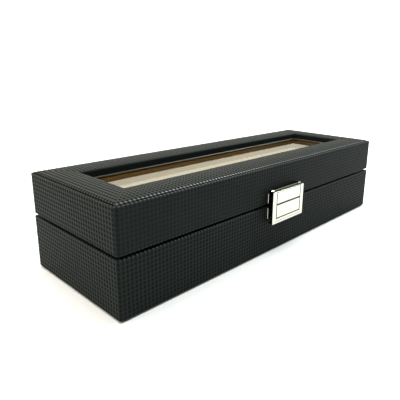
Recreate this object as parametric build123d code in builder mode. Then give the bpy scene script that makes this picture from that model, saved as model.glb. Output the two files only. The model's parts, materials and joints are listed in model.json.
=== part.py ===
from build123d import *
from math import asin, degrees
import os

# Watch display box: a long, low leatherette case with a glazed, padded lid, two rear
# butt hinges, a flip latch on the front, and six cushions between dividers.
# Millimetres. +X runs along the length, the front faces -Y, +Z is up.
# The origin is the centre of the underside.

# ---- driving dimensions -------------------------------------------------------------
box_length = 336.0
box_depth = 114.0
base_top_z = 42.9            # top of the base's outer wall
lid_bottom_z = 44.9          # bottom of the lid's outer wall, above the shadow gap
lid_rim_z = 77.0             # top edge of the lid's side cover
lid_top_z = 78.4             # top of the padded frame
corner_radius = 3.4          # outer corners in plan

skin = 1.0                   # leatherette on the sides
turn_in = 0.8                # leatherette turned over a wall's edge
wall = 7.0                   # fibreboard walls
felt = 1.0                   # underside sheet
floor_board = 3.0
base_liner = 2.0             # suede-wrapped card inside the base walls
lid_liner = 1.5              # the same inside the lid walls
liner_proud = 1.9            # how far the base liner stands above the base walls

window_length = 283.0        # clear opening seen from above
window_depth = 57.0
top_skin = 0.8
frame_board = 3.0            # board that carries the padding and the glass
frame_board_z = 71.5         # underside of that board, and top of the glass
glass_length = 296.0
glass_depth = 70.0
glass_thickness = 2.5
retainer_thickness = 4.5

compartments = 6
divider_thickness = 2.0
divider_top_z = 36.0
cushion_width = 47.0
cushion_depth = 76.0
cushion_top_z = 43.0
cushion_radius = 10.0
cushion_top_round = 8.0
cushion_bottom_round = 6.0

hinge_x = 95.0               # distance of each hinge from the middle
hinge_length = 30.0
hinge_leaf = 0.9
hinge_axis_reach = 2.2       # hinge axis behind the rear face
hinge_axis_z = 43.9
hinge_barrel_radius = 2.0
hinge_pin_radius = 0.8
hinge_screw_offset = 9.0

latch_width = 44.6           # cover of the flip latch
latch_bottom_z = 28.2
latch_top_z = 56.6
latch_back_reach = 5.1       # inner face of the cover, in front of the box
latch_thickness = 1.6
latch_axis_reach = 2.6
latch_axis_z = 55.9
latch_plate_width = 43.4
latch_plate = 1.0
latch_pin_radius = 0.7

running_clearance = 0.05     # radial play of a pin in its hole

# ---- derived dimensions -------------------------------------------------------------
front_y = -box_depth / 2
hinge_axis_y = box_depth / 2 + hinge_axis_reach
latch_back_y = front_y - latch_back_reach
latch_axis_y = front_y - latch_axis_reach
core_length = box_length - 2 * skin
core_depth = box_depth - 2 * skin
inner_length = core_length - 2 * wall
inner_depth = core_depth - 2 * wall
base_wall_z = felt + floor_board
base_core_top = base_top_z - turn_in
lid_core_bottom = lid_bottom_z + turn_in
floor_lining = 1.0
floor_z = base_wall_z + floor_lining
liner_top_z = base_top_z + liner_proud
tray_length = inner_length - 2 * base_liner
tray_depth = inner_depth - 2 * base_liner
pocket = (tray_length - (compartments - 1) * divider_thickness) / compartments
pitch = pocket + divider_thickness
aperture_length = window_length + 2 * top_skin
aperture_depth = window_depth + 2 * top_skin
retainer_z = frame_board_z - retainer_thickness
screw_y = box_depth / 2 - skin - wall / 2

os.makedirs("parts", exist_ok=True)


def save(piece, name):
    """Label a finished piece and write it as its own STEP file."""
    piece.part.label = name
    export_step(piece.part, f"parts/{name}.step")


# ---- walls, liners and covers -------------------------------------------------------
# The front and rear walls run the full length and carry the rounded corners.
# The end walls stand between them. Screw holes are drilled where fittings are fixed.
hinge_screw_spots = [
    (side * hinge_x + offset, screw_y)
    for side in (-1, 1)
    for offset in (-hinge_screw_offset, hinge_screw_offset)
]
screw_shank_radius = 0.8
screw_length = 7.0
screw_head_radius = 1.6
plate_screw_x = 15.0
plate_screw_lid_z = 50.0
plate_screw_base_z = 37.5
plate_screw_length = 6.0
corner_core_radius = corner_radius - skin

for body, bottom, top in (
    ("base", base_wall_z, base_core_top),
    ("lid", lid_core_bottom, frame_board_z),
):
    height = top - bottom
    latch_screw_z = plate_screw_base_z if body == "base" else plate_screw_lid_z

    with BuildPart() as front_wall:
        with BuildSketch(Plane.XY.offset(bottom)):
            with Locations((0, -(core_depth - wall) / 2)):
                Rectangle(core_length, wall)
        extrude(amount=height)
        outer = front_wall.edges().filter_by(Axis.Z).group_by(Axis.Y)[0]
        fillet(outer, corner_core_radius)
        with BuildSketch(Plane.XZ.offset(core_depth / 2)):
            with Locations((-plate_screw_x, latch_screw_z), (plate_screw_x, latch_screw_z)):
                Circle(screw_shank_radius)
        extrude(amount=-plate_screw_length, mode=Mode.SUBTRACT)
    save(front_wall, f"{body}_front_wall")

    with BuildPart() as rear_wall:
        with BuildSketch(Plane.XY.offset(bottom)):
            with Locations((0, (core_depth - wall) / 2)):
                Rectangle(core_length, wall)
        extrude(amount=height)
        outer = rear_wall.edges().filter_by(Axis.Z).group_by(Axis.Y)[-1]
        fillet(outer, corner_core_radius)
        hole_z = top - screw_length if body == "base" else bottom
        with BuildSketch(Plane.XY.offset(hole_z)):
            with Locations(*hinge_screw_spots):
                Circle(screw_shank_radius)
        extrude(amount=screw_length, mode=Mode.SUBTRACT)
    save(rear_wall, f"{body}_rear_wall")

    for side, sign in (("left", -1), ("right", 1)):
        with BuildPart() as end_wall:
            with BuildSketch(Plane.XY.offset(bottom)):
                with Locations((sign * (core_length - wall) / 2, 0)):
                    Rectangle(wall, inner_depth)
            extrude(amount=height)
        save(end_wall, f"{body}_{side}_wall")

for body, thickness, bottom, top in (
    ("base", base_liner, floor_z, liner_top_z),
    ("lid", lid_liner, lid_bottom_z, retainer_z),
):
    for side, sign in (("front", -1), ("rear", 1)):
        with BuildPart() as liner:
            with BuildSketch(Plane.XY.offset(bottom)):
                with Locations((0, sign * (inner_depth - thickness) / 2)):
                    Rectangle(inner_length, thickness)
            extrude(amount=top - bottom)
        save(liner, f"{body}_liner_{side}")
    for side, sign in (("left", -1), ("right", 1)):
        with BuildPart() as liner:
            with BuildSketch(Plane.XY.offset(bottom)):
                with Locations((sign * (inner_length - thickness) / 2, 0)):
                    Rectangle(thickness, inner_depth - 2 * thickness)
            extrude(amount=top - bottom)
        save(liner, f"{body}_liner_{side}")

# The base cover wraps the sides and turns in over the walls' top edges.
with BuildPart() as base_cover:
    with BuildSketch(Plane.XY.offset(felt)):
        RectangleRounded(box_length, box_depth, corner_radius)
        RectangleRounded(core_length, core_depth, corner_core_radius, mode=Mode.SUBTRACT)
    extrude(amount=base_core_top - felt)
    with BuildSketch(Plane.XY.offset(base_core_top)):
        RectangleRounded(box_length, box_depth, corner_radius)
        Rectangle(inner_length, inner_depth, mode=Mode.SUBTRACT)
        with Locations(*hinge_screw_spots):
            Circle(screw_shank_radius, mode=Mode.SUBTRACT)
    extrude(amount=turn_in)
    with BuildSketch(Plane.XZ.offset(box_depth / 2)):
        with Locations((-plate_screw_x, plate_screw_base_z), (plate_screw_x, plate_screw_base_z)):
            Circle(screw_shank_radius)
    extrude(amount=-skin, mode=Mode.SUBTRACT)
save(base_cover, "base_cover")

# The lid's side cover turns in under the walls and ends above in a thin standing rim.
with BuildPart() as lid_side_cover:
    with BuildSketch(Plane.XY.offset(lid_bottom_z)):
        RectangleRounded(box_length, box_depth, corner_radius)
        Rectangle(inner_length, inner_depth, mode=Mode.SUBTRACT)
        with Locations(*hinge_screw_spots):
            Circle(screw_shank_radius, mode=Mode.SUBTRACT)
    extrude(amount=turn_in)
    with BuildSketch(Plane.XY.offset(lid_core_bottom)):
        RectangleRounded(box_length, box_depth, corner_radius)
        RectangleRounded(core_length, core_depth, corner_core_radius, mode=Mode.SUBTRACT)
    extrude(amount=lid_rim_z - lid_core_bottom)
    with BuildSketch(Plane.XZ.offset(box_depth / 2)):
        with Locations((-plate_screw_x, plate_screw_lid_z), (plate_screw_x, plate_screw_lid_z)):
            Circle(screw_shank_radius)
    extrude(amount=-skin, mode=Mode.SUBTRACT)
save(lid_side_cover, "lid_side_cover")

# ---- base ---------------------------------------------------------------------------
felt_inset = 1.5
with BuildPart() as base_underside_felt:
    with BuildSketch():
        felt_radius = corner_radius - felt_inset
        RectangleRounded(box_length - 2 * felt_inset, box_depth - 2 * felt_inset, felt_radius)
    extrude(amount=felt)
save(base_underside_felt, "base_underside_felt")

with BuildPart() as base_floor_board:
    with BuildSketch(Plane.XY.offset(felt)):
        RectangleRounded(core_length, core_depth, corner_core_radius)
    extrude(amount=floor_board)
save(base_floor_board, "base_floor_board")

with BuildPart() as base_floor_lining:
    with BuildSketch(Plane.XY.offset(base_wall_z)):
        Rectangle(inner_length, inner_depth)
    extrude(amount=floor_lining)
save(base_floor_lining, "base_floor_lining")

for number in range(1, compartments):
    with BuildPart() as divider:
        with BuildSketch(Plane.XY.offset(floor_z)):
            with Locations(((number - compartments / 2) * pitch, 0)):
                Rectangle(divider_thickness, tray_depth)
        extrude(amount=divider_top_z - floor_z)
        top_edges = divider.edges().filter_by(Axis.Y).group_by(Axis.Z)[-1]
        fillet(top_edges, divider_thickness / 4)
    save(divider, f"divider_{number}")

for number in range(1, compartments + 1):
    with BuildPart() as cushion:
        with BuildSketch(Plane.XY.offset(floor_z)):
            with Locations(((number - (compartments + 1) / 2) * pitch, 0)):
                RectangleRounded(cushion_width, cushion_depth, cushion_radius)
        extrude(amount=cushion_top_z - floor_z)
        fillet(cushion.faces().sort_by(Axis.Z)[-1].edges(), cushion_top_round)
        fillet(cushion.faces().sort_by(Axis.Z)[0].edges(), cushion_bottom_round)
    save(cushion, f"cushion_{number}")

# ---- lid ----------------------------------------------------------------------------
with BuildPart() as lid_top_frame:
    with BuildSketch(Plane.XY.offset(frame_board_z)):
        RectangleRounded(core_length, core_depth, corner_core_radius)
        Rectangle(aperture_length, aperture_depth, mode=Mode.SUBTRACT)
    extrude(amount=frame_board)
save(lid_top_frame, "lid_top_frame")

# Foam on the frame board, and the leatherette that is drawn over it into the window.
# A narrow groove is left between the padded cover and the standing rim of the sides.
groove = 1.0
pad_z = frame_board_z + frame_board
cover_length = core_length - 2 * groove
cover_depth = core_depth - 2 * groove
pad_length = cover_length - 2 * top_skin
pad_depth = cover_depth - 2 * top_skin
pad_top = lid_top_z - top_skin
pad_corner = corner_core_radius - groove - top_skin
edge_roll = 2.2              # rounding of the padded cover's edges

with BuildPart() as lid_top_pad:
    with BuildSketch(Plane.XY.offset(pad_z)):
        RectangleRounded(pad_length, pad_depth, pad_corner)
        Rectangle(aperture_length, aperture_depth, mode=Mode.SUBTRACT)
    extrude(amount=pad_top - pad_z)
    fillet(lid_top_pad.faces().sort_by(Axis.Z)[-1].edges(), edge_roll - top_skin)
save(lid_top_pad, "lid_top_pad")

with BuildPart() as lid_top_cover:
    with BuildSketch(Plane.XY.offset(pad_z)):
        RectangleRounded(cover_length, cover_depth, pad_corner + top_skin)
        Rectangle(window_length, window_depth, mode=Mode.SUBTRACT)
    extrude(amount=lid_top_z - pad_z)
    fillet(lid_top_cover.faces().sort_by(Axis.Z)[-1].edges(), edge_roll)
    add(lid_top_pad.part, mode=Mode.SUBTRACT)
    with BuildSketch(Plane.XY.offset(frame_board_z)):
        Rectangle(aperture_length, aperture_depth)
        Rectangle(window_length, window_depth, mode=Mode.SUBTRACT)
    extrude(amount=frame_board)
save(lid_top_cover, "lid_top_cover")

with BuildPart() as glass_pane:
    with BuildSketch(Plane.XY.offset(frame_board_z - glass_thickness)):
        Rectangle(glass_length, glass_depth)
    extrude(amount=glass_thickness)
save(glass_pane, "glass_pane")

# The retainer is rebated for the glass and holds it up against the frame board.
glass_play = 0.2
retainer_play = 0.2
sight_margin = 1.5
with BuildPart() as glass_retainer:
    with BuildSketch(Plane.XY.offset(retainer_z)):
        Rectangle(inner_length - 2 * retainer_play, inner_depth - 2 * retainer_play)
        Rectangle(window_length + 2 * sight_margin, window_depth + 2 * sight_margin, mode=Mode.SUBTRACT)
    extrude(amount=retainer_thickness)
    with BuildSketch(Plane.XY.offset(frame_board_z - glass_thickness)):
        Rectangle(glass_length + 2 * glass_play, glass_depth + 2 * glass_play)
    extrude(amount=glass_thickness, mode=Mode.SUBTRACT)
save(glass_retainer, "glass_retainer")

# ---- rear hinges --------------------------------------------------------------------
# The leaves lie flat in the shadow gap. The base leaf has the two outer knuckles and
# the lid leaf has the middle one.
leaf_play = 0.2
leaf_inner_y = inner_depth / 2 + leaf_play
leaf_outer_y = box_depth / 2
neck_y = leaf_outer_y + 1.5
cross_slot_length = 1.8
cross_slot_width = 0.4
cross_slot_depth = 0.4
knuckle_gap = 0.2
middle_knuckle = 11.0
outer_knuckle = (hinge_length - middle_knuckle) / 2 - knuckle_gap
outer_knuckle_x = (hinge_length - outer_knuckle) / 2
countersink_rise = screw_head_radius - screw_shank_radius

for side, sign in (("left", -1), ("right", 1)):
    centre_x = sign * hinge_x
    for body, leaf_z, knuckles in (
        ("base", base_top_z, [(-outer_knuckle_x, outer_knuckle), (outer_knuckle_x, outer_knuckle)]),
        ("lid", lid_bottom_z - hinge_leaf, [(0, middle_knuckle)]),
    ):
        screw_x = (centre_x - hinge_screw_offset, centre_x + hinge_screw_offset)
        with BuildPart() as hinge_leaf_part:
            with BuildSketch(Plane.XY.offset(leaf_z)):
                with Locations((centre_x, (leaf_inner_y + leaf_outer_y) / 2)):
                    Rectangle(hinge_length, leaf_outer_y - leaf_inner_y)
                for knuckle_x, length in knuckles:
                    with Locations((centre_x + knuckle_x, (leaf_outer_y + neck_y) / 2)):
                        Rectangle(length, neck_y - leaf_outer_y)
            extrude(amount=hinge_leaf)
            for knuckle_x, length in knuckles:
                with BuildSketch(Plane.YZ.offset(centre_x + knuckle_x)):
                    with Locations((hinge_axis_y, hinge_axis_z)):
                        Circle(hinge_barrel_radius)
                extrude(amount=length / 2, both=True)
            with BuildSketch(Plane.YZ.offset(centre_x)):
                with Locations((hinge_axis_y, hinge_axis_z)):
                    Circle(hinge_pin_radius + running_clearance)
            extrude(amount=hinge_length / 2, both=True, mode=Mode.SUBTRACT)
            open_face_z = leaf_z + hinge_leaf if body == "base" else leaf_z
            drill_plane = Plane.XY.offset(open_face_z)
            if body == "lid":
                drill_plane = Plane(origin=(0, 0, open_face_z), x_dir=(1, 0, 0), z_dir=(0, 0, -1))
            spots = [(x, screw_y if body == "base" else -screw_y) for x in screw_x]
            with Locations(drill_plane):
                with Locations(*spots):
                    CounterSinkHole(screw_shank_radius, screw_head_radius, depth=hinge_leaf)
        save(hinge_leaf_part, f"hinge_{body}_leaf_{side}")

    with BuildPart() as hinge_pin:
        with BuildSketch(Plane.YZ.offset(centre_x)):
            with Locations((hinge_axis_y, hinge_axis_z)):
                Circle(hinge_pin_radius)
        extrude(amount=hinge_length / 2, both=True)
        chamfer(hinge_pin.edges(), hinge_pin_radius / 4)
    save(hinge_pin, f"hinge_pin_{side}")

# Countersunk screws: head flush with the leaf, shank down through the cover into the wall.
for body, head_z, direction in (
    ("base", base_top_z + hinge_leaf, -1),
    ("lid", lid_bottom_z - hinge_leaf, 1),
):
    with BuildPart() as hinge_screws:
        shank_reach = hinge_leaf + turn_in + screw_length
        for x, y in hinge_screw_spots:
            with BuildSketch(Plane(origin=(x, y, head_z), x_dir=(1, 0, 0), z_dir=(0, -1, 0))):
                with BuildLine():
                    Polyline(
                        (0, 0),
                        (screw_head_radius, 0),
                        (screw_shank_radius, direction * countersink_rise),
                        (screw_shank_radius, direction * (shank_reach - screw_shank_radius)),
                        (0, direction * shank_reach),
                        close=True,
                    )
                make_face()
            revolve(axis=Axis((x, y, head_z), (0, 0, 1)))
        for x, y in hinge_screw_spots:
            slot_plane = Plane.XY.offset(head_z)
            with BuildSketch(slot_plane):
                with Locations((x, y)):
                    Rectangle(cross_slot_length, cross_slot_width)
                    Rectangle(cross_slot_width, cross_slot_length)
            extrude(amount=direction * cross_slot_depth, mode=Mode.SUBTRACT)
    save(hinge_screws, f"hinge_screws_{body}")

# ---- flip latch ---------------------------------------------------------------------
# The lid plate's two knuckles stand outside the cover's one long barrel, on one pin.
knuckle_radius = 1.7
knuckle_near = 18.0                   # the lid plate's knuckles, from the middle
knuckle_far = 21.4
fold = 0.8                            # the folded strip from the plate to each knuckle
barrel_half = 17.4
barrel_radius = 1.2
plate_front_y = front_y - latch_plate
plate_gap = 0.8                       # each plate's edge from the wall's edge
lid_plate_z = lid_bottom_z + plate_gap
lid_plate_top = 54.6
ear_top = latch_axis_z + knuckle_radius
ear_root = 2.0                        # how far each ear runs down into the plate
catch_top = base_top_z - plate_gap
catch_bottom = 32.0
plate_corner = 0.8
plate_edge_round = 0.4
nose_length = 24.0
nose_reach = 1.1
nose_z = 33.3

# Lid plate: an ear at each end of its top is folded forward into a round knuckle.
with BuildPart() as latch_lid_plate:
    with BuildSketch(Plane.XZ.offset(-front_y)):
        with Locations((0, (lid_plate_z + lid_plate_top) / 2)):
            RectangleRounded(latch_plate_width, lid_plate_top - lid_plate_z, plate_corner)
    extrude(amount=latch_plate)
    fillet(latch_lid_plate.faces().sort_by(Axis.Y)[0].edges(), plate_edge_round)
    with BuildSketch(Plane.XZ.offset(-front_y)):
        with Locations((-plate_screw_x, plate_screw_lid_z), (plate_screw_x, plate_screw_lid_z)):
            Circle(screw_shank_radius)
    extrude(amount=latch_plate, mode=Mode.SUBTRACT)
    for sign in (-1, 1):
        with BuildSketch(Plane.YZ.offset(sign * (knuckle_near + knuckle_far) / 2)):
            with Locations((latch_axis_y, latch_axis_z)):
                Circle(knuckle_radius)
            with Locations(((front_y + latch_axis_y) / 2, ear_top - fold / 2)):
                Rectangle(front_y - latch_axis_y, fold)
            with Locations((front_y - latch_plate / 2, (ear_top + lid_plate_top - ear_root) / 2)):
                Rectangle(latch_plate, ear_top - lid_plate_top + ear_root)
        extrude(amount=(knuckle_far - knuckle_near) / 2, both=True)
    with BuildSketch(Plane.YZ):
        with Locations((latch_axis_y, latch_axis_z)):
            Circle(latch_pin_radius)
    extrude(amount=latch_width / 2, both=True, mode=Mode.SUBTRACT)
save(latch_lid_plate, "latch_lid_plate")

# Catch on the base: a plate with a rounded nose across its lower part.
with BuildPart() as latch_catch:
    with BuildSketch(Plane.XZ.offset(-front_y)):
        with Locations((0, (catch_bottom + catch_top) / 2)):
            RectangleRounded(latch_plate_width, catch_top - catch_bottom, plate_corner)
    extrude(amount=latch_plate)
    fillet(latch_catch.faces().sort_by(Axis.Y)[0].edges(), plate_edge_round)
    with BuildSketch(Plane.XZ.offset(-front_y)):
        with Locations((-plate_screw_x, plate_screw_base_z), (plate_screw_x, plate_screw_base_z)):
            Circle(screw_shank_radius)
    extrude(amount=latch_plate, mode=Mode.SUBTRACT)
    with BuildSketch(Plane.YZ):
        with Locations((plate_front_y, nose_z)):
            Circle(nose_reach)
            with Locations((nose_reach, 0)):
                Rectangle(2 * nose_reach, 2 * nose_reach, mode=Mode.SUBTRACT)
    extrude(amount=nose_length / 2, both=True)
save(latch_catch, "latch_catch")

# Dome-headed screws that hold the two plates to the front walls.
screw_dome = 0.7
screw_taper = 1.0
dome_radius = (screw_head_radius**2 + screw_dome**2) / (2 * screw_dome)
dome_angle = degrees(asin(screw_head_radius / dome_radius))
for name, screw_z in (
    ("latch_plate_screws", plate_screw_lid_z),
    ("latch_catch_screws", plate_screw_base_z),
):
    with BuildPart() as plate_screws:
        for sign in (-1, 1):
            head = (sign * plate_screw_x, plate_front_y, screw_z)
            with BuildSketch(Plane(origin=head, x_dir=(1, 0, 0), z_dir=(0, 0, 1))):
                with BuildLine():
                    shank_reach = latch_plate + skin + plate_screw_length
                    Polyline(
                        (0, -screw_dome),
                        (0, shank_reach),
                        (screw_shank_radius, shank_reach - screw_taper),
                        (screw_shank_radius, 0),
                        (screw_head_radius, 0),
                    )
                    CenterArc((0, dome_radius - screw_dome), dome_radius, -90, dome_angle)
                make_face()
            revolve(axis=Axis(head, (0, 1, 0)))
    save(plate_screws, name)

# The pin is pressed into the plate's knuckles, and the cover's barrel turns on it.
with BuildPart() as latch_pin:
    with BuildSketch(Plane.YZ):
        with Locations((latch_axis_y, latch_axis_z)):
            Circle(latch_pin_radius)
    extrude(amount=knuckle_far, both=True)
save(latch_pin, "latch_pin")

# The cover hangs on the pin in front of both plates. Its border rises on both sides of
# two panels. The upper panel's top edge is rolled to a bead, and a web runs from the
# bead back to the barrel. The bottom edge returns inward as the lip that snaps over
# the catch's nose.
border = 5.5
bottom_border = 5.2
panel_groove = 1.0
divide_groove = 1.6
groove_depth = 0.6
divide_z = 45.0
line_groove = 0.5
line_depth = 0.2
cover_corner = 0.8
cover_edge_round = 0.35
bead_radius = 1.1
bead_drop = 0.3              # the bead's top below the border's top
lip_height = 2.4
lip_inset = 1.0
lip_gap = 0.3
front_face = Plane.XZ.offset(-latch_back_y + latch_thickness)
front_face_y = latch_back_y - latch_thickness
panel_half = latch_width / 2 - border
panel_bottom = latch_bottom_z + bottom_border
panel_span = latch_top_z - panel_bottom
lip_tip_y = plate_front_y - nose_reach - lip_gap
bead_z = latch_top_z - bead_drop - bead_radius
bead_y = front_face_y + bead_radius

with BuildPart() as latch_cover:
    with BuildSketch(Plane.XZ.offset(-latch_back_y)):
        with Locations((0, (latch_bottom_z + latch_top_z) / 2)):
            Rectangle(latch_width, latch_top_z - latch_bottom_z)
    extrude(amount=latch_thickness)
    fillet(latch_cover.edges().filter_by(Axis.Y), cover_corner)
    fillet(latch_cover.faces().sort_by(Axis.Y)[0].edges(), cover_edge_round)
    with BuildSketch(front_face):
        with Locations((0, (bead_z + latch_top_z) / 2)):
            Rectangle(2 * panel_half, latch_top_z - bead_z)
    extrude(amount=-latch_thickness, mode=Mode.SUBTRACT)
    with BuildSketch(front_face):
        for sign in (-1, 1):
            with Locations((sign * (panel_half + panel_groove / 2), panel_bottom + panel_span / 2)):
                Rectangle(panel_groove, panel_span + panel_groove)
        with Locations((0, panel_bottom - panel_groove / 2)):
            Rectangle(2 * (panel_half + panel_groove), panel_groove)
        with Locations((0, divide_z)):
            Rectangle(2 * (panel_half + panel_groove), divide_groove)
    extrude(amount=-groove_depth, mode=Mode.SUBTRACT)
    with BuildSketch(front_face):
        with Locations((0, latch_bottom_z + bottom_border / 2 - panel_groove / 2)):
            Rectangle(latch_width - bottom_border, line_groove)
    extrude(amount=-line_depth, mode=Mode.SUBTRACT)
    with BuildSketch(Plane.YZ):
        with Locations(((latch_back_y + lip_tip_y) / 2, latch_bottom_z + lip_height / 2)):
            Rectangle(lip_tip_y - latch_back_y, lip_height)
    extrude(amount=latch_width / 2 - lip_inset, both=True)
    with BuildSketch(Plane.YZ):
        with Locations((bead_y, bead_z)):
            Circle(bead_radius)
        with Locations(((bead_y + latch_axis_y) / 2, (bead_z + latch_axis_z) / 2)):
            Rectangle(latch_axis_y - bead_y, bead_radius)
        with Locations((latch_axis_y, latch_axis_z)):
            Circle(barrel_radius)
            Circle(latch_pin_radius + running_clearance, mode=Mode.SUBTRACT)
    extrude(amount=barrel_half, both=True)
save(latch_cover, "latch_cover")
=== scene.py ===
import json
import math

import bpy
import numpy as np
from mathutils import Matrix, Vector


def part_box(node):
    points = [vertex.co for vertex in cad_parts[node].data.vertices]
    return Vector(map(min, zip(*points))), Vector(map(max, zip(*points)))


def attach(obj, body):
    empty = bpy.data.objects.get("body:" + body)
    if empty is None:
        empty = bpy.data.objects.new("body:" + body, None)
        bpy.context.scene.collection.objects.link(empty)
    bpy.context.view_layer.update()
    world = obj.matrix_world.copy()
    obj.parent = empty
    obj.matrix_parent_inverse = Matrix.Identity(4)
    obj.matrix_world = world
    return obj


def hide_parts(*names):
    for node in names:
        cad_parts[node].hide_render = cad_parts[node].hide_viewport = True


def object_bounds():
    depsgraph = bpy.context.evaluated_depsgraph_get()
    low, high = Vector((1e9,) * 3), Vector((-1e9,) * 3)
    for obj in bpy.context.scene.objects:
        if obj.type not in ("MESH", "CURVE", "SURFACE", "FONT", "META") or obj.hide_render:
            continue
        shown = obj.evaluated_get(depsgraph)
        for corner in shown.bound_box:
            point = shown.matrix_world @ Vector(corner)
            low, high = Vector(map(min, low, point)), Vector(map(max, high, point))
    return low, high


# Watch display box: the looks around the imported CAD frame. Metres, the CAD's own frame.

MM = 0.001
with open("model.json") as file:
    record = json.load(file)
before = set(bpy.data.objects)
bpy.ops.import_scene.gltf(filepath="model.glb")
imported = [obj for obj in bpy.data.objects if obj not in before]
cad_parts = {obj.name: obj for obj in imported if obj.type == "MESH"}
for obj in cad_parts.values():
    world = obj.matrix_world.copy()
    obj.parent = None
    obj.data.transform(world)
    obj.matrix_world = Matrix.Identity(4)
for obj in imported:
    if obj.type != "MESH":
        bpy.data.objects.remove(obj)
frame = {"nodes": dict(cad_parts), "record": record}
cad_low, cad_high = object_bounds()

# The emboss: a square grid of small pressed pits.
EMBOSS_PITCH = 3.1 * MM
EMBOSS_DEPTH = 0.34 * MM
SAMPLES_PER_PITCH = 6
MESH_STEP = EMBOSS_PITCH / SAMPLES_PER_PITCH
ROLL_POINTS = 9                  # points of the arc in each rolled edge
PIT_HALF_ALONG = 0.30            # a pit's half size as a part of the pitch
PIT_HALF_ACROSS = 0.37
PIT_SQUARENESS = 2.6             # 2 rounds the pits, more squares them
FRONT_DEPTH = {"base": 0.9, "lid": 0.55}              # part of the depth left on the front

# The side covers.
CORNER_RADIUS = {"base": 2.2 * MM, "lid": 3.2 * MM}   # the box's outer corners in plan
CORNER_SWELL = {"base": 0.7 * MM, "lid": -0.7 * MM}   # folded corners stand into the gap
SWELL_REACH = 6.0 * MM           # how far the swelling runs along each side
SWELL_HEIGHT = 3.0 * MM          # and how far from the gap
SWELL_FALLOFF = 1.5              # 1 falls evenly along the side, more falls faster
EDGE_ROLL = 0.8 * MM             # leatherette drawn over a wall's edge
FLOOR_TURN = 2.5 * MM            # turned in under the base
WALL_TURN = 8.0 * MM             # turned in over the walls, to the liner cards
RIM_WIDTH = 1.4 * MM             # the standing rim round the padded frame
RIM_ROLL = 0.95 * MM
RIM_INNER_ROLL = 0.35 * MM
RIM_DROP = 2.4 * MM              # the rim's inner side, down into the groove
RIM_CLEARANCE = 20 * MM          # an edge this far above the shadow gap is the rim's

# The padded frame round the window.
GROOVE_WIDTH = 0.8 * MM          # between the rim and the padded frame
GROOVE_FLOOR = 0.6 * MM          # above the frame board
GROOVE_SHADE = 0.2 * MM          # painted shade: the groove is darkened and dull from this far below the rim
PAD_EDGE_DROP = 0.7 * MM         # the pad's edges lie below the CAD cover's top
PAD_ROLL = 1.8 * MM
PAD_CROWN = 1.0 * MM
CROWN_FULLNESS = 0.8             # 1 is a sine arch, less is fuller
PAD_CORNER = 3.2 * MM            # the outer corners are drawn down
PAD_CORNER_DROP = 0.6 * MM
WINDOW_MARGIN = 1.0 * MM         # the record's window opening clears the walls by this
WINDOW_SHADE = 1.0 * MM          # painted shade: the window's wall is darkened and dull from this far below the pad's edge
WELD_DISTANCE = 0.02 * MM

# The shine of stretched leatherette: 1 is the padded frame's front edge at the left.
RIM_SHINE = 0.45
SEAM_SHINE = 0.35                # the edges at the shadow gap
SLACK_SHINE = 0.2                # the side and back edges
TOP_SHINE = 0.02                 # all over the padded frame
WORN_DULLNESS_AND_SHADE = 0.35             # how far the front's wear dulls its gloss, and how far its ridges take the pits' painted shade colour
SHINE_FADE = (-90 * MM, -10 * MM)   # along the front, the shine falls between these
FADED_SHINE = 0.35

# The light bead round the glass: painted light, standing in for the bright line at the glass's edge.
BEAD_RADIUS = 0.3 * MM
BEAD_STAND = 0.8                 # its centre's height above the glass, in radii
BEAD_SECTION_POINTS = 9
BEAD_POINTS = 400
WINDOW_CORNER = 1.5 * MM

# The latch's plating.
RECESS_EDGE = 0.12 * MM          # painted shade in the cover's recesses starts this far behind its face
RECESS_DEPTH = 0.5 * MM          # and is full here
DARK_END = 0.36 * MM             # the lid plate's ends carry painted shade this far in,
DARK_END_STAND = 1.1 * MM        # where they stand further out from the lid than this

# The cushions.
CUSHION_COUNT = 6
CUSHION_INSET = Vector((2.2, 2.2, 2.0)) * MM          # a pillow starts smaller, then swells
CUSHION_EDGE = 7 * MM
CUSHION_VOXEL = 3.2 * MM
INFLATE_LIMIT = 3.2 * MM         # the furthest that a point moves
INFLATE_PRESSURE = 4
INFLATE_FRAMES = 20
CREASE_HEIGHT = 0.35 * MM
SIDE_CREASE = 0.3 * MM
CREASE_LENGTHS = (7 * MM, 9 * MM, 8 * MM)             # one radian of a wave, along x, y and z
CREASE_SHIFT = 1.7               # radians, from one cushion to the next


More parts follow.
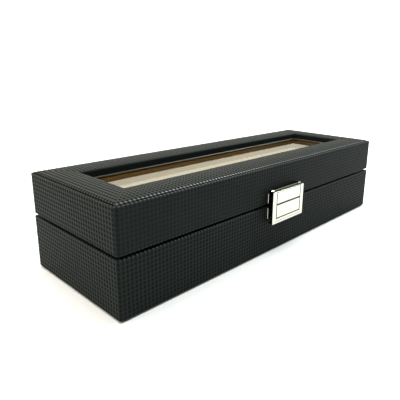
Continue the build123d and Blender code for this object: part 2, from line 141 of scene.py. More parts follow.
# ---- node helpers -------------------------------------------------------------------
class Shader:
    """A material's node tree, built from a Principled shader outwards."""

    def __init__(self, name, **values):
        self.material = bpy.data.materials.new(name)
        self.material.use_nodes = True
        self.tree = self.material.node_tree
        self.bsdf = self.tree.nodes["Principled BSDF"]
        self.coordinates = self.tree.nodes.new("ShaderNodeTexCoord").outputs["Object"]
        for socket, value in values.items():
            self.bsdf.inputs[socket.replace("_", " ")].default_value = value

    def link(self, output, socket):
        self.tree.links.new(output, socket)

    def noise(self, scale, detail=4.0, roughness=0.55, stretch=(1, 1, 1)):
        mapping = self.tree.nodes.new("ShaderNodeMapping")
        mapping.inputs["Scale"].default_value = stretch
        self.link(self.coordinates, mapping.inputs["Vector"])
        node = self.tree.nodes.new("ShaderNodeTexNoise")
        node.inputs["Scale"].default_value = scale
        node.inputs["Detail"].default_value = detail
        node.inputs["Roughness"].default_value = roughness
        self.link(mapping.outputs["Vector"], node.inputs["Vector"])
        return node.outputs["Fac"]

    def attribute(self, name):
        node = self.tree.nodes.new("ShaderNodeAttribute")
        node.attribute_name = name
        return node.outputs["Fac"]

    def place(self, axis):
        """The coordinate along "X", "Y" or "Z"."""
        node = self.tree.nodes.new("ShaderNodeSeparateXYZ")
        self.link(self.coordinates, node.inputs["Vector"])
        return node.outputs[axis]

    def span(self, value, low, high, out_low=0.0, out_high=1.0):
        node = self.tree.nodes.new("ShaderNodeMapRange")
        self.link(value, node.inputs["Value"])
        for socket, number in (
            ("From Min", low),
            ("From Max", high),
            ("To Min", out_low),
            ("To Max", out_high),
        ):
            node.inputs[socket].default_value = number
        return node.outputs["Result"]

    def math(self, operation, *values):
        node = self.tree.nodes.new("ShaderNodeMath")
        node.operation = operation
        for socket, value in zip(node.inputs, values):
            if isinstance(value, (int, float)):
                socket.default_value = value
            else:
                self.link(value, socket)
        return node.outputs["Value"]

    def average(self, first, second):
        return self.math("MULTIPLY", self.math("ADD", first, second), 0.5)

    def colours(self, factor, first, second):
        node = self.tree.nodes.new("ShaderNodeMix")
        node.data_type = "RGBA"
        self.link(factor, node.inputs["Factor"])
        for socket, colour in ((node.inputs[6], first), (node.inputs[7], second)):
            if isinstance(colour, tuple):
                socket.default_value = (*colour, 1.0)
            else:
                self.link(colour, socket)
        return node.outputs[2]

    def bump(self, height, strength, distance):
        node = self.tree.nodes.new("ShaderNodeBump")
        node.inputs["Strength"].default_value = strength
        node.inputs["Distance"].default_value = distance
        self.link(height, node.inputs["Height"])
        self.link(node.outputs["Normal"], self.bsdf.inputs["Normal"])

    def base_colour(self, output):
        self.link(output, self.bsdf.inputs["Base Color"])

    def surface_roughness(self, output):
        self.link(output, self.bsdf.inputs["Roughness"])

    def specular_level(self, output):
        self.link(output, self.bsdf.inputs["Specular IOR Level"])


# ---- materials ----------------------------------------------------------------------
def leatherette_material():
    """Black embossed leatherette: painted shade in the pits, ridges shinier than the pits, glossy
    over the edges.
    """
    look = Shader("leatherette")
    relief, stretch = look.attribute("relief"), look.attribute("stretch")
    patches = look.span(look.noise(scale=38, detail=3), 0.3, 0.7)
    ridge_colour = look.colours(patches, (0.0096, 0.0124, 0.0118), (0.0112, 0.0144, 0.0136))
    # painted shade: the pits, the groove and the window's wall take this darker colour
    pit_shade_colour = (0.0070, 0.0094, 0.0090)
    look.base_colour(look.colours(relief, ridge_colour, pit_shade_colour))
    grain = look.noise(scale=2600, detail=3)
    ridge_roughness = look.span(grain, 0.3, 0.7, 0.43, 0.55)
    pit_roughness = look.math("ADD", ridge_roughness, look.math("MULTIPLY", relief, 0.2))
    look.surface_roughness(look.math("SUBTRACT", pit_roughness, look.math("MULTIPLY", stretch, 0.2)))
    ridge_gloss = look.math("MULTIPLY_ADD", stretch, 1.9, 0.078)
    pit_dulling = look.span(relief, 0.0, 0.7, 1.0, 0.06)
    look.specular_level(look.math("MULTIPLY", ridge_gloss, pit_dulling))
    look.bump(grain, strength=0.35, distance=0.06 * MM)
    return look.material


def smooth_leatherette_material():
    """The same leatherette where it is turned in, with the emboss pressed flat."""
    look = Shader("smooth_leatherette", Specular_IOR_Level=0.15)
    dark, light = (0.008, 0.008, 0.008), (0.014, 0.014, 0.013)
    look.base_colour(look.colours(look.noise(scale=60), dark, light))
    look.surface_roughness(look.span(look.noise(scale=900), 0.3, 0.7, 0.45, 0.6))
    look.bump(look.noise(scale=1500, detail=5), strength=0.5, distance=0.1 * MM)
    return look.material


def suede_material(name, dark, light):
    """Short-napped suede: mottled colour, soft sheen, fine fibres in the bump."""
    look = Shader(
        name, Roughness=0.92, Specular_IOR_Level=0.15, Sheen_Weight=0.35, Sheen_Roughness=0.45
    )
    look.bsdf.inputs["Sheen Tint"].default_value = (*light, 1.0)
    brushed = look.noise(scale=45, detail=5, roughness=0.6, stretch=(1, 2.2, 1))
    fibres = look.noise(scale=950, detail=4, roughness=0.7)
    mottle = look.span(look.average(brushed, fibres), 0.38, 0.62)
    look.base_colour(look.colours(mottle, dark, light))
    look.bump(fibres, strength=0.6, distance=0.25 * MM)
    return look.material


def wiped_metal(name, scratch):
    """A plated metal's shader, and the faint directional wipe marks in it."""
    look = Shader(name, Metallic=1.0)
    wipe = look.noise(scale=420, detail=5, roughness=0.6, stretch=(0.08, 1, 1))
    look.bump(wipe, strength=scratch, distance=0.02 * MM)
    return look, wipe


def metal_material(name, colour, roughness, scratch=0.15, dark_ends=None):
    """Plated metal with slightly varied gloss.

    dark_ends = (x, y) paints shade on what lies outside that x and in front of that y.
    """
    look, wipe = wiped_metal(name, scratch)
    darker = tuple(channel * 0.93 for channel in colour)
    shade = look.colours(look.span(wipe, 0.35, 0.65), darker, colour)
    if dark_ends:
        end_x, front_y = dark_ends
        beyond = look.span(look.math("ABSOLUTE", look.place("X")), end_x, end_x + 0.05 * MM)
        ahead = look.span(look.place("Y"), front_y, front_y - 0.2 * MM)
        # painted shade on the plate's ends, where its knuckles meet the latch cover
        painted_shade = (0.05, 0.052, 0.034)
        shade = look.colours(look.math("MULTIPLY", beyond, ahead), shade, painted_shade)
    look.base_colour(shade)
    look.surface_roughness(look.span(wipe, 0.3, 0.7, roughness * 0.75, roughness * 1.3))
    return look.material


def latch_material():
    """The latch cover's plating: mirror-bright outside, with dark olive painted shade in the
    recesses.
    """
    look, wipe = wiped_metal("latch_plating", 0.15)
    front_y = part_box("latch_cover")[0].y
    recess = look.span(look.place("Y"), front_y + RECESS_EDGE, front_y + RECESS_DEPTH)
    unshaded_plating = look.colours(look.span(wipe, 0.35, 0.65), (0.57, 0.566, 0.505), (0.62, 0.616, 0.555))
    # painted shade: the recesses behind the cover's face turn dark olive
    painted_shade = (0.045, 0.042, 0.026)
    look.base_colour(look.colours(recess, unshaded_plating, painted_shade))
    polished = look.span(wipe, 0.3, 0.7, 0.08, 0.16)
    look.surface_roughness(look.math("ADD", polished, look.math("MULTIPLY", recess, 0.25)))
    return look.material


def fibreboard_material():
    """Brown board with pale and dark flecks."""
    look = Shader("fibreboard", Roughness=0.85, Specular_IOR_Level=0.2)
    flecks = look.noise(scale=700, detail=6, roughness=0.7, stretch=(0.5, 1, 1))
    dark, light = (0.21, 0.13, 0.07), (0.42, 0.30, 0.19)
    look.base_colour(look.colours(look.span(flecks, 0.35, 0.65), dark, light))
    look.bump(flecks, strength=0.4, distance=0.2 * MM)
    return look.material


def foam_material():
    """Grey open-celled foam."""
    look = Shader("foam", Roughness=0.95, Specular_IOR_Level=0.1)
    cells = look.noise(scale=1400, detail=2, roughness=0.4)
    dark, light = (0.16, 0.16, 0.16), (0.36, 0.36, 0.35)
    look.base_colour(look.colours(look.span(cells, 0.4, 0.6), dark, light))
    look.bump(cells, strength=0.8, distance=0.3 * MM)
    return look.material


def felt_material():
    """Black wool felt, matt and tufted."""
    look = Shader(
        "felt", Roughness=0.97, Specular_IOR_Level=0.1, Sheen_Weight=0.25, Sheen_Roughness=0.5
    )
    fibres = look.noise(scale=1700, detail=4, roughness=0.75)
    tufts = look.noise(scale=300, detail=5, roughness=0.7)
    wool = look.average(fibres, tufts)
    dark, light = (0.008, 0.008, 0.009), (0.028, 0.028, 0.03)
    look.base_colour(look.colours(look.span(wool, 0.4, 0.6), dark, light))
    look.bump(wool, strength=0.9, distance=0.3 * MM)
    return look.material


def glass_material():
    """Thin clear sheet with a coated, part-mirrored face, stronger at a low angle."""
    look = Shader("glass")
    nodes = look.tree.nodes
    nodes.remove(look.bsdf)
    clear = nodes.new("ShaderNodeBsdfTransparent")
    clear.inputs["Color"].default_value = (0.93, 0.95, 0.93, 1.0)
    mirror = nodes.new("ShaderNodeBsdfGlossy")
    mirror.inputs["Roughness"].default_value = 0.02
    mirror.inputs["Color"].default_value = (0.91, 0.89, 0.79, 1.0)
    weight = nodes.new("ShaderNodeLayerWeight")
    weight.inputs["Blend"].default_value = 0.5
    grazing = look.math("POWER", weight.outputs["Facing"], 5.0)
    straight_on, grazing_gain = 0.18, 0.30
    reflected = look.math("MULTIPLY_ADD", grazing, grazing_gain, straight_on)
    mix = nodes.new("ShaderNodeMixShader")
    look.link(reflected, mix.inputs["Fac"])
    look.link(clear.outputs["BSDF"], mix.inputs[1])
    look.link(mirror.outputs["BSDF"], mix.inputs[2])
    look.link(mix.outputs["Shader"], nodes["Material Output"].inputs["Surface"])
    return look.material


def bright_line_material():
    """Light tan and mottled: painted light for the bright line at the glass's edge."""
    look = Shader("sealant", Specular_IOR_Level=0.5)
    dust = look.noise(scale=500, detail=4, roughness=0.6)
    # painted light: a light tan colour for the bright line at the glass's edge
    look.base_colour(look.colours(dust, (0.10, 0.088, 0.062), (0.15, 0.13, 0.095)))
    look.surface_roughness(look.span(dust, 0.3, 0.7, 0.25, 0.5))
    look.bump(dust, strength=0.4, distance=0.1 * MM)
    return look.material


def plate_material():
    """The lid plate: polished, with painted shade on its ends where its knuckles meet the latch
    cover.
    """
    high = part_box("latch_lid_plate")[1]
    dark_ends = (high.x - DARK_END, high.y - DARK_END_STAND)
    return metal_material("polished_plate", (0.60, 0.595, 0.55), 0.16, dark_ends=dark_ends)


LEATHERETTE = leatherette_material()
SMOOTH_LEATHERETTE = smooth_leatherette_material()
LINING = suede_material("lining_suede", (0.60, 0.41, 0.205), (0.65, 0.445, 0.225))
CUSHION = suede_material("cushion_suede", (0.55, 0.44, 0.29), (0.60, 0.475, 0.315))
LATCH = latch_material()
PLATE = plate_material()
HINGE = metal_material("hinge_plate", (0.72, 0.70, 0.66), 0.24, scratch=0.3)
FIBREBOARD = fibreboard_material()
FOAM = foam_material()
FELT = felt_material()
GLASS = glass_material()
BRIGHT_LINE = bright_line_material()


# ---- mesh helpers -------------------------------------------------------------------
def mesh_object(name, vertices, faces, material, smooth=True, **layers):
    """A mesh piece. Each layer is a point attribute with one number per vertex."""
    mesh = bpy.data.meshes.new(name)
    mesh.from_pydata([tuple(v) for v in vertices], [], [tuple(f) for f in faces])
    mesh.validate()
    for layer_name, values in layers.items():
        layer = mesh.attributes.new(layer_name, "FLOAT", "POINT")
        layer.data.foreach_set("value", np.asarray(values, np.float32).reshape(-1))
    mesh.polygons.foreach_set("use_smooth", [smooth] * len(mesh.polygons))
    mesh.materials.append(material)
    piece = bpy.data.objects.new(name, mesh)
    bpy.context.scene.collection.objects.link(piece)
    return piece


def grid_faces(rows, columns, closed):
    """Faces of a rows x columns grid, row by row; closed joins the last row to the first."""
    last = rows if closed else rows - 1
    i, j = np.meshgrid(np.arange(last), np.arange(columns - 1), indexing="ij")
    k = (i + 1) % rows
    corners = [i * columns + j, k * columns + j, k * columns + j + 1, i * columns + j + 1]
    return np.stack(corners, -1).reshape(-1, 4)


def from_pit_middle(distance, half_size):
    """Distance from the nearest pit's middle, against the pit's half size."""
    return np.abs((distance / EMBOSS_PITCH) % 1.0 - 0.5) / half_size


def ridges(along):
    """1 on the ridges that run across an edge, 0 in the middle of the pits between."""
    return 1 - np.exp(-(from_pit_middle(along, PIT_HALF_ALONG) ** PIT_SQUARENESS))


def pits(along, across):
    """1 in the middle of a pressed pit and 0 on the ridges, over the unrolled sheet."""
    u = from_pit_middle(along, PIT_HALF_ALONG)
    v = from_pit_middle(across, PIT_HALF_ACROSS)
    return np.exp(-(u**PIT_SQUARENESS) - v**PIT_SQUARENESS)


def rolled_corner(before, corner, after, radius):
    """Points of the arc that rounds a polyline's corner."""
    before, corner, after = (np.array(point, float) for point in (before, corner, after))
    backward = (before - corner) / np.linalg.norm(before - corner)
    forward = (after - corner) / np.linalg.norm(after - corner)
    inward = backward + forward
    half = math.acos(np.clip(backward @ forward, -1, 1)) / 2
    reach = radius / math.tan(half)
    start, end = corner + backward * reach, corner + forward * reach
    middle = corner + inward / np.linalg.norm(inward) * radius / math.sin(half)
    first = math.atan2(*(start - middle)[::-1])
    turn = math.atan2(*(end - middle)[::-1]) - first
    turn = (turn + math.pi) % (2 * math.pi) - math.pi
    angles = [first + turn * t for t in np.linspace(0, 1, ROLL_POINTS)]
    return [middle + radius * np.array([math.cos(angle), math.sin(angle)]) for angle in angles]


def rolled_profile(points, radii):
    """Samples a polyline with rounded corners: positions, normals and arc length.

    The normal is the path's left side.
    """
    path = [np.array(points[0], float)]
    for before, corner, after, radius in zip(points, points[1:], points[2:], radii):
        path += rolled_corner(before, corner, after, radius)
    path.append(np.array(points[-1], float))
    path = np.array(path)
    lengths = np.concatenate([[0], np.cumsum(np.linalg.norm(np.diff(path, axis=0), axis=1))])
    count = int(math.ceil(lengths[-1] / MESH_STEP)) + 1
    arc = np.linspace(0, lengths[-1], count)
    samples = np.stack([np.interp(arc, lengths, path[:, k]) for k in (0, 1)], 1)
    tangent = np.gradient(samples, axis=0)
    tangent /= np.linalg.norm(tangent, axis=1)[:, None]
    normal = np.stack([-tangent[:, 1], tangent[:, 0]], 1)
    return samples, normal, arc


def rounded_band(half_x, half_y, radius, insets, count):
    """Points round a rounded rectangle, `count` along its outer edge, at each inset.

    Returns positions (count, insets, 2), outward directions (count, 2) and arc length.
    """
    straight_x, straight_y = 2 * (half_x - radius), 2 * (half_y - radius)
    quarter = math.pi / 2 * radius
    runs = [straight_x, quarter, straight_y, quarter] * 2
    ends = np.cumsum(runs)
    arc = np.arange(count) * sum(runs) / count
    inset = np.asarray(insets)
    inner_radius = np.maximum(radius - inset, 0)
    centre_x = half_x - inset - inner_radius
    centre_y = half_y - inset - inner_radius
    positions = np.zeros((count, len(inset), 2))
    outward = np.zeros((count, 2))
    for k, distance in enumerate(arc):
        run = int(np.searchsorted(ends, distance, side="right"))
        t = (distance - (ends[run] - runs[run])) / runs[run]
        side, at_corner = run // 2, run % 2
        half_along, half_across = (centre_x, centre_y) if side % 2 == 0 else (centre_y, centre_x)
        if at_corner:
            angle = -math.pi / 2 + t * math.pi / 2
            direction = np.array([math.cos(angle), math.sin(angle)])
            local_x = half_along + inner_radius * direction[0]
            local_y = -half_across + inner_radius * direction[1]
        else:
            direction = np.array([0.0, -1.0])
            local_x = (2 * t - 1) * half_along
            local_y = -half_across - inner_radius
        turn = side * math.pi / 2
        cosine, sine = math.cos(turn), math.sin(turn)
        spin = np.array([[cosine, -sine], [sine, cosine]])
        positions[k] = np.stack([local_x, local_y], 1) @ spin.T
        outward[k] = spin @ direction
    return positions, outward, arc


def edge_stretch(normal):
    """1 where a profile turns over an edge at 45 degrees, 0 where it is upright or flat."""
    return np.clip(4 * normal[:, 1] ** 2 * normal[:, 0] ** 2, 0, 1)


def facing_front(outward_y, x):
    """The front edges are drawn tight and shine, most near the left corner."""
    along_front = np.interp(x, SHINE_FADE, (1.0, FADED_SHINE))
    return SLACK_SHINE + (1 - SLACK_SHINE) * np.clip(-outward_y, 0, 1) * along_front


# ---- leatherette covers -------------------------------------------------------------
def corner_closeness(outline, half_x, half_y):
    """1 at the box's four corners, falling to 0 a little way along each side."""
    from_corner = np.hypot(half_x - np.abs(outline[:, 0]), half_y - np.abs(outline[:, 1]))
    return np.clip(1 - from_corner / SWELL_REACH, 0, 1) ** SWELL_FALLOFF


def embossed_band(name, body, half_x, half_y, profile, rolls, seam_z, grid_start):
    """Leatherette drawn round a body's sides. The profile is (inset, height).

    Its edge at the shadow gap, seam_z, swells near the corners. The grid of pits starts
    at grid_start along the profile.
    """
    corner = CORNER_RADIUS[body]
    samples, normal, arc = rolled_profile(profile, rolls)
    height = samples[:, 1]
    perimeter = 4 * (half_x + half_y - 2 * corner) + 2 * math.pi * corner
    pitches = round(perimeter / EMBOSS_PITCH)
    count = pitches * SAMPLES_PER_PITCH
    positions, outward, along = rounded_band(half_x, half_y, corner, samples[:, 0], count)
    outline = positions[:, 0]
    along = along * (pitches * EMBOSS_PITCH / perimeter)

    worn_and_shaded = ((1 - FRONT_DEPTH[body]) * np.clip(-outward[:, 1], 0, 1))[:, None]
    pit = pits(along[:, None], (arc - grid_start)[None, :]) * (1 - worn_and_shaded)
    fade = np.clip(np.minimum(arc, arc[-1] - arc) / EMBOSS_PITCH, 0, 1)
    shift = -EMBOSS_DEPTH * pit * fade[None, :]
    near_seam = np.clip(1 - np.abs(height - seam_z) / SWELL_HEIGHT, 0, 1)
    swelling = CORNER_SWELL[body] * corner_closeness(outline, half_x, half_y)
    points = np.zeros((count, len(arc), 3))
    points[:, :, :2] = positions + (shift * -normal[None, :, 0])[:, :, None] * outward[:, None, :]
    points[:, :, 2] = height[None, :] + shift * normal[None, :, 1]
    points[:, :, 2] += swelling[:, None] * near_seam[None, :]

    on_rim = height > seam_z + RIM_CLEARANCE
    in_groove = (samples[:, 0] > RIM_WIDTH - RIM_INNER_ROLL / 2) & on_rim
    # painted shade: the rim's inner side, down in the groove, takes the pits' darker colour and
    # loses its gloss
    relief = np.where(in_groove[None, :], 1.0, pit)
    # partly painted shade: on the front the ridges also move toward the pits' darker colour
    relief = relief + worn_and_shaded * WORN_DULLNESS_AND_SHADE * (1 - relief)
    tight = facing_front(outward[:, 1], outline[:, 0]) * ridges(along)
    stretch = edge_stretch(normal)[None, :] * tight[:, None]
    stretch = stretch * np.where(on_rim, RIM_SHINE, SEAM_SHINE)[None, :]
    faces = grid_faces(count, len(arc), closed=True)
    layers = {"relief": relief, "stretch": stretch}
    return mesh_object(name, points.reshape(-1, 3), faces, LEATHERETTE, **layers)


def side_cover(name, node, body, low_turn, high_turn, high_roll, rim_drop=0):
    """A side cover: turned in at both edges, by low_turn and high_turn.

    With rim_drop, the upper edge stands as a rim and drops again on its inner side.
    """
    low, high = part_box(node)
    profile = [(low_turn, low.z), (0, low.z), (0, high.z), (high_turn, high.z)]
    rolls = [EDGE_ROLL, high_roll]
    if rim_drop:
        profile.append((high_turn, high.z - rim_drop))
        rolls.append(RIM_INNER_ROLL)
    seam_z = high.z if body == "base" else low.z
    band = embossed_band(name, body, high.x, high.y, profile, rolls, seam_z, low_turn)
    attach(band, body)
    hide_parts(node)


def window_half():
    """Half the window's length and depth, between its leatherette walls."""
    for opening in frame["record"]["physics"]["openings"]:
        if opening["name"] == "window_recess":
            return [half + WINDOW_MARGIN for half in opening["box_m"][1][:2]]
    raise ValueError("window_recess")


def top_cover():
    """The padded frame: rises from the groove, crowns, and rolls down into the window."""
    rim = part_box("lid_side_cover")[1]
    pad_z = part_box("lid_top_cover")[1].z
    outer = Vector((rim.x - RIM_WIDTH - GROOVE_WIDTH, rim.y - RIM_WIDTH - GROOVE_WIDTH, pad_z))
    window_x, window_y = window_half()
    border = outer.y - window_y
    edge_z = outer.z - PAD_EDGE_DROP
    groove_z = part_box("lid_top_frame")[1].z + GROOVE_FLOOR
    glass_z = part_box("glass_pane")[1].z
    path = [(0, groove_z), (0, edge_z), (border, edge_z), (border, glass_z)]
    samples, normal, arc = rolled_profile(path, [PAD_ROLL, PAD_ROLL])
    height = samples[:, 1]
    fraction = samples[:, 0] / border
    crown = PAD_CROWN * np.sin(math.pi * np.clip(fraction, 0, 1)) ** CROWN_FULLNESS
    outer_edge = np.searchsorted(arc, edge_z - groove_z)
    unrolled = arc - arc[outer_edge]
    outer_half = samples[:, 0] < border / 2
    tension = edge_stretch(normal) * outer_half
    in_groove = (height < rim.z - GROOVE_SHADE) & outer_half
    in_window = (height < edge_z - WINDOW_SHADE) & (samples[:, 0] > border / 2)
    shaded = in_groove | in_window
    fade = np.clip((arc[-1] - arc) / (2 * EMBOSS_PITCH), 0, 1)

    vertices, faces, relief, stretch, offset = [], [], [], [], 0
    for side in range(4):
        turn = side * math.pi / 2
        lengthways = side % 2 == 0
        outer_along, outer_across = (outer.x, outer.y) if lengthways else (outer.y, outer.x)
        inner_along, inner_across = (window_x, window_y) if lengthways else (window_y, window_x)
        count = int(round(2 * outer_along / MESH_STEP)) + 1
        t = np.linspace(-1, 1, count)
        along = t[:, None] * (outer_along + (inner_along - outer_along) * fraction)[None, :]
        across = -(outer_across + (inner_across - outer_across) * fraction)
        sheet = -outer_across + unrolled * (outer_across - inner_across) / border
        sheet = np.broadcast_to(sheet, along.shape)
        pit = pits(along, sheet) if lengthways else pits(sheet, along)
        # painted shade: in the groove and down the window's wall the cover takes the pits' darker
        # colour, loses its gloss and sits a pit's depth in
        pit = np.where(shaded[None, :], 1.0, pit)
        shift = -EMBOSS_DEPTH * pit * fade
        corner = 1 - np.clip((outer_along - np.abs(along)) / PAD_CORNER, 0, 1)
        y = np.broadcast_to(across, along.shape) + shift * normal[None, :, 0]
        z = (height + crown)[None, :] + shift * normal[None, :, 1]
        z = z - corner**2 * PAD_CORNER_DROP * (fraction < 0.5)[None, :]
        cosine, sine = math.cos(turn), math.sin(turn)
        turned = np.stack([cosine * along - sine * y, sine * along + cosine * y, z], -1)
        vertices.append(turned.reshape(-1, 3))
        faces.append(grid_faces(count, len(arc), closed=False) + offset)
        relief.append(pit.reshape(-1))
        shine = tension[None, :] * facing_front(-math.cos(turn), along) * ridges(along)
        stretch.append((shine + TOP_SHINE).reshape(-1))
        offset += count * len(arc)

    layers = {"relief": np.concatenate(relief), "stretch": np.concatenate(stretch)}
    vertices, faces = np.concatenate(vertices), np.concatenate(faces)
    cover = mesh_object("top_leatherette", vertices, faces, LEATHERETTE, **layers)
    weld = cover.modifiers.new("weld", "WELD")
    weld.merge_threshold = WELD_DISTANCE
    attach(cover, "lid")
    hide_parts("lid_top_cover")


def window_bead():
    """A thin light bead round the window, between the leatherette and glass: painted light for the
    bright line at the glass's edge.
    """
    turn = np.linspace(0, 2 * math.pi, BEAD_SECTION_POINTS)
    insets = BEAD_RADIUS + BEAD_RADIUS * np.cos(turn)
    glass_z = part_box("glass_pane")[1].z
    heights = glass_z + BEAD_RADIUS * BEAD_STAND + BEAD_RADIUS * np.sin(turn)
    points = np.zeros((BEAD_POINTS, len(turn), 3))
    points[:, :, :2] = rounded_band(*window_half(), WINDOW_CORNER, insets, BEAD_POINTS)[0]
    points[:, :, 2] = heights[None, :]
    faces = grid_faces(BEAD_POINTS, len(turn), closed=True)
    bead = mesh_object("window_bead", points.reshape(-1, 3), faces, BRIGHT_LINE)
    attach(bead, "lid")


side_cover("base_leatherette", "base_cover", "base", FLOOR_TURN, WALL_TURN, EDGE_ROLL)
side_cover("lid_leatherette", "lid_side_cover", "lid", WALL_TURN, RIM_WIDTH, RIM_ROLL, RIM_DROP)
top_cover()
window_bead()


# ---- cushions -----------------------------------------------------------------------
def rounded_block(name, low, high):
    """An evenly meshed block with rounded edges, filling the given box."""
    bpy.ops.mesh.primitive_cube_add(size=1)
    block = bpy.context.object
    block.name = name
    size = high - low
    middle = (low + high) / 2
    block.data.transform(Matrix.Translation(middle) @ Matrix.Diagonal((*size, 1)))
    bevel = block.modifiers.new("bevel", "BEVEL")
    bevel.width = CUSHION_EDGE
    bevel.segments = 4
    remesh = block.modifiers.new("remesh", "REMESH")
    remesh.mode = "VOXEL"
    remesh.voxel_size = CUSHION_VOXEL
    smooth = block.modifiers.new("smooth", "SMOOTH")
    smooth.iterations = 6
    for modifier in ("bevel", "remesh", "smooth"):
        bpy.ops.object.modifier_apply(modifier=modifier)
    return block


def positions_of(mesh):
    coordinates = np.zeros(len(mesh.vertices) * 3)
    mesh.vertices.foreach_get("co", coordinates)
    return coordinates.reshape(-1, 3)


def limited(start, now, cap):
    """Moved positions, with no point further than cap from where it started."""
    moved = now - start
    length = np.linalg.norm(moved, axis=1)[:, None]
    return start + moved * np.minimum(1, cap / np.maximum(length, 1e-9))


def inflate(pillow, cap):
    """Swells a pillow by a short cloth simulation, moving no point further than cap."""
    cloth = pillow.modifiers.new("cloth", "CLOTH")
    cloth.settings.use_pressure = True
    cloth.settings.uniform_pressure_force = INFLATE_PRESSURE
    cloth.settings.effector_weights.gravity = 0
    cloth.settings.quality = 5
    scene = bpy.context.scene
    start = positions_of(pillow.data)
    for step in range(1, INFLATE_FRAMES + 1):
        scene.frame_set(step)
    graph = bpy.context.evaluated_depsgraph_get()
    now = positions_of(pillow.evaluated_get(graph).to_mesh())
    pillow.modifiers.remove(cloth)
    scene.frame_set(1)
    pillow.data.vertices.foreach_set("co", limited(start, now, cap).reshape(-1))
    pillow.data.update()


def creased(points, middle, phase):
    """Shallow waves over the pillow's top and down its ends."""
    wave_x, wave_y, wave_z = CREASE_LENGTHS
    x, y = points[:, 0] - middle[0], points[:, 1]
    crease = CREASE_HEIGHT * np.sin(y / wave_y + phase) * np.cos(x / wave_x - 0.6 * phase)
    points[:, 2] += crease * (points[:, 2] > middle[2])
    points[:, 0] += SIDE_CREASE * np.sin(points[:, 2] / wave_z + phase) * np.sign(x)
    return points


def cushion_piece(number, template):
    """One cushion: the template moved into its pocket, creased, and pressed flat there."""
    node = f"cushion_{number}"
    low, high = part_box(node)
    middle = (np.array(low) + np.array(high)) / 2
    points = positions_of(template.data) + np.array([middle[0], 0, 0])
    points = creased(points, middle, number * CREASE_SHIFT)
    points = np.clip(points, np.array(low), np.array(high))
    mesh = template.data.copy()
    mesh.vertices.foreach_set("co", points.reshape(-1))
    mesh.polygons.foreach_set("use_smooth", [True] * len(mesh.polygons))
    mesh.materials.clear()
    mesh.materials.append(CUSHION)
    piece = bpy.data.objects.new(f"pillow_{number}", mesh)
    bpy.context.scene.collection.objects.link(piece)
    subdivision = piece.modifiers.new("subdivision", "SUBSURF")
    subdivision.levels = subdivision.render_levels = 1
    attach(piece, "base")
    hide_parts(node)


def cushions():
    """Six pillows from one template, which is made at x = 0."""
    low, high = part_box("cushion_1")
    half_length = (high.x - low.x) / 2
    template_low = Vector((-half_length, low.y, low.z)) + CUSHION_INSET
    template_high = Vector((half_length, high.y, high.z)) - CUSHION_INSET
    template = rounded_block("pillow_template", template_low, template_high)
    inflate(template, INFLATE_LIMIT)
    for number in range(1, CUSHION_COUNT + 1):
        cushion_piece(number, template)
    bpy.data.objects.remove(template)


cushions()


# ---- finishes of the CAD's own nodes ------------------------------------------------
FINISHES = {
    "leatherette": SMOOTH_LEATHERETTE,
    "felt": FELT,
    "suede_lining": LINING,
    "cushion_suede": CUSHION,
    "glass": GLASS,
    "foam": FOAM,
    "polished_plate": PLATE,
    "hinge_plate": HINGE,
    "fibreboard": FIBREBOARD,
}


def finish_nodes():
    """Each node gets the finish of its material slot; the latch cover has its own."""
    for part in frame["record"]["subparts"]:
        materials = frame["nodes"][part["node"]].data.materials
        is_latch = part["node"] == "latch_cover"
        finish = LATCH if is_latch else FINISHES[part["material_slot"]]
        if not materials:
            materials.append(finish)
        for index in range(len(materials)):
            materials[index] = finish


finish_nodes()


# ---- floor, light and camera --------------------------------------------------------
WORLD_COLOUR = (1.0, 0.975, 0.86)
WORLD_FRONT = 0.26               # brightness in front, at the sides and behind
WORLD_SIDE = 1.06
WORLD_BACK = 1.80
FLOOR_HALF = 12.0
FLOOR_GAP = 0.2 * MM             # the floor lies this far under the box


def floor():
    """A pale, plain floor just under the box."""
    look = Shader("floor", Roughness=0.9, Specular_IOR_Level=0.1)
    dark, light = (0.93, 0.93, 0.93), (0.95, 0.95, 0.95)
    look.base_colour(look.colours(look.noise(scale=3, detail=2), dark, light))
    around = ((-1, -1), (1, -1), (1, 1), (-1, 1))
    corners = [(x * FLOOR_HALF, y * FLOOR_HALF, 0) for x, y in around]
    plane = mesh_object("floor", corners, [(0, 1, 2, 3)], look.material, smooth=False)
    plane.location.z = cad_low.z - FLOOR_GAP


def world_light():
    """White behind and at both sides, dark in front, so that the front stays dark."""
    world = bpy.data.worlds.new("studio")
    bpy.context.scene.world = world
    world.use_nodes = True
    tree = world.node_tree
    direction = tree.nodes.new("ShaderNodeTexCoord").outputs["Generated"]
    split = tree.nodes.new("ShaderNodeSeparateXYZ")
    tree.links.new(direction, split.inputs["Vector"])
    product = tree.nodes.new("ShaderNodeMath")
    product.operation = "MULTIPLY"
    front_to_side = (-0.6, 0.0, WORLD_FRONT, WORLD_SIDE)
    side_to_back = (0.1, 0.62, 1.0, WORLD_BACK / WORLD_SIDE)
    for socket, numbers in zip(product.inputs, (front_to_side, side_to_back)):
        ramp = tree.nodes.new("ShaderNodeMapRange")
        tree.links.new(split.outputs["Y"], ramp.inputs["Value"])
        for name, number in zip(("From Min", "From Max", "To Min", "To Max"), numbers):
            ramp.inputs[name].default_value = number
        tree.links.new(ramp.outputs["Result"], socket)
    background = tree.nodes["Background"]
    background.inputs["Color"].default_value = (*WORLD_COLOUR, 1.0)
    tree.links.new(product.outputs["Value"], background.inputs["Strength"])


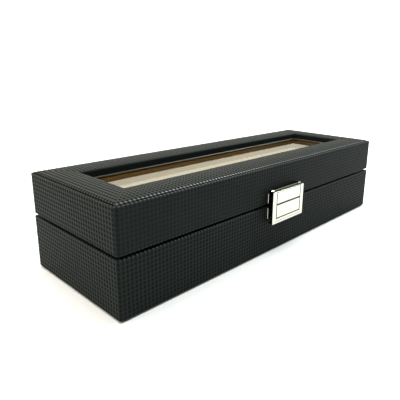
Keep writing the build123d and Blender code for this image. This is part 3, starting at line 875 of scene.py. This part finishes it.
def lamp(name, kind, energy):
    """A light of the given kind; returns its object and its data."""
    light = bpy.data.lights.new(name, kind)
    light.energy = energy
    holder = bpy.data.objects.new(name, light)
    bpy.context.scene.collection.objects.link(holder)
    return holder, light


def overhead_light(strength, spread, tilt):
    """Even light from above and a little behind, so that the whole floor is white."""
    holder, light = lamp("overhead", "SUN", strength)
    light.angle = math.radians(spread)
    holder.rotation_euler = (-math.radians(tilt), 0, 0)


def softbox(name, place, target, size, power, colour):
    """A rectangular light at a place, turned towards its target."""
    holder, light = lamp(name, "AREA", power)
    light.shape = "RECTANGLE"
    light.size, light.size_y = size
    light.color = colour
    holder.location = place
    towards = Vector(target) - Vector(place)
    holder.rotation_euler = towards.to_track_quat("-Z", "Y").to_euler()


def camera():
    """The camera looks along the box from its front left, a little above the lid."""
    azimuth, elevation, roll = (math.radians(a) for a in (-47.23, 15.18, 0.98))
    place = Vector((-294.2, -260.2, 157.0)) * MM
    back_x = math.sin(azimuth) * math.cos(elevation)
    back_y = -math.cos(azimuth) * math.cos(elevation)
    back = Vector((back_x, back_y, math.sin(elevation)))
    right = (-back).cross(Vector((0, 0, 1))).normalized()
    up = right.cross(-back)
    cosine, sine = math.cos(roll), math.sin(roll)
    rotation = Matrix((right * cosine + up * sine, up * cosine - right * sine, back)).transposed()
    data = bpy.data.cameras.new("camera")
    data.sensor_width = 36.0
    data.lens = 38.08
    data.shift_x = -0.0625
    data.shift_y = -0.0494
    data.clip_start = 0.01
    view = bpy.data.objects.new("camera", data)
    view.matrix_world = Matrix.Translation(place) @ rotation.to_4x4()
    bpy.context.scene.collection.objects.link(view)
    bpy.context.scene.camera = view


floor()
world_light()
overhead_light(strength=2.3, spread=60, tilt=8)
softbox(
    "left_softbox",              # low and far left: the contrast of the left end
    place=(-1.2, 1.08, 0.26),
    target=(0, 0, 0.05),
    size=(0.9, 0.35),
    power=7,
    colour=(1.0, 0.90, 0.74),
)
softbox(
    "edge_softbox",              # high and right: the bright dots along the front edge
    place=(1.13, -0.42, 1.05),
    target=(0, 0, 0.06),
    size=(0.2, 0.2),
    power=17,
    colour=(0.88, 0.98, 1.0),
)
camera()
bpy.context.scene.view_settings.view_transform = "Standard"
